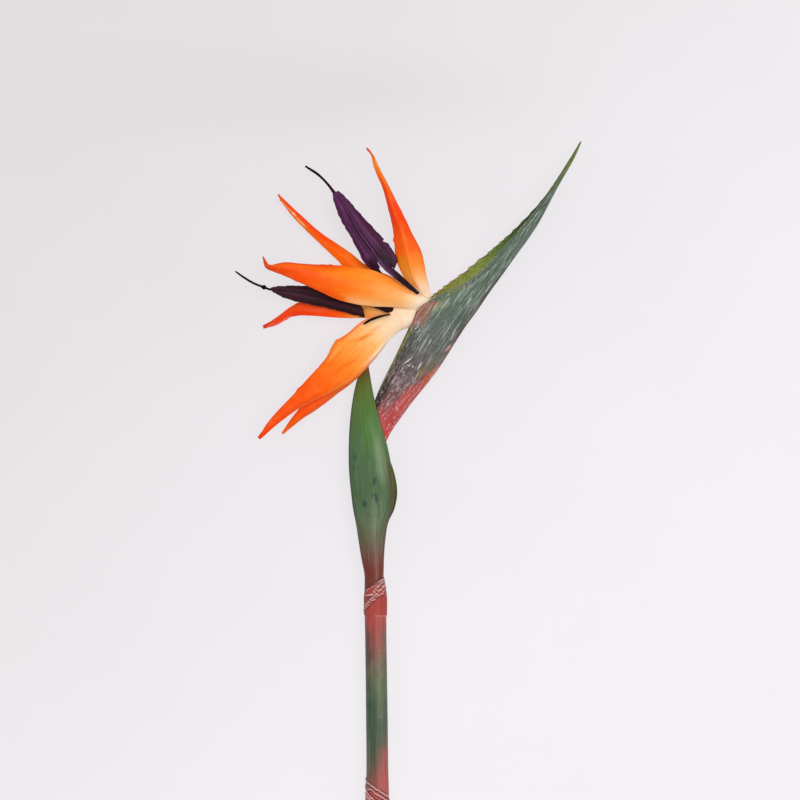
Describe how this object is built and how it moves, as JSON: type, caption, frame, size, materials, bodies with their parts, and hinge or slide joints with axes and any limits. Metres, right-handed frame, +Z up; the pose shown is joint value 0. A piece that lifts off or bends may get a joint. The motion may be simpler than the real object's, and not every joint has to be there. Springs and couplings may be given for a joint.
{
  "type": "bird of paradise flower",
  "caption": "Cut bird of paradise flower lying on its side, with orange sepals, violet tongues, a green beak-like spathe and a long stalk.",
  "frame": {"origin": "on the surface that the flower lies on, under the middle of its bounding box", "axes": "+Y along the stalk from its cut end to the head, +X towards the spathe's side, +Z up, away from the surface"},
  "size_m": [0.1907, 0.4825, 0.0312],
  "materials": {
    "stalk": "fresh cut plant stalk, pale green inside",
    "sheath": "smooth leathery sheath, green fading to brick red at its nodes",
    "bract": "satin green leaf with a grey bloom and brown edges",
    "spathe": "blue-green leaf with pale lengthwise streaks, red at its base",
    "ovary": "waxy cream flesh",
    "sepal": "satin orange petal, red-orange to its tip and cream at its root",
    "red_sepal": "satin red-orange petal",
    "tongue": "satin dark violet petal with fine ribs",
    "style": "almost black violet thread"
  },
  "bodies": {
    "root": {"stalk": "stalk", "lower_sheath": "sheath", "middle_sheath": "sheath", "stem_bract": "bract", "spathe": "spathe", "upper_ovary": "ovary", "lower_ovary": "ovary", "upper_sepal_right": "sepal", "upper_sepal_back": "sepal", "upper_sepal_front": "sepal", "lower_sepal_back": "red_sepal", "lower_sepal_front": "sepal", "lower_sepal_under": "sepal", "upper_tongue": "tongue", "lower_tongue": "tongue", "upper_style": "style", "lower_style": "style", "lower_small_petal": "style"}
  },
  "joints": []
}
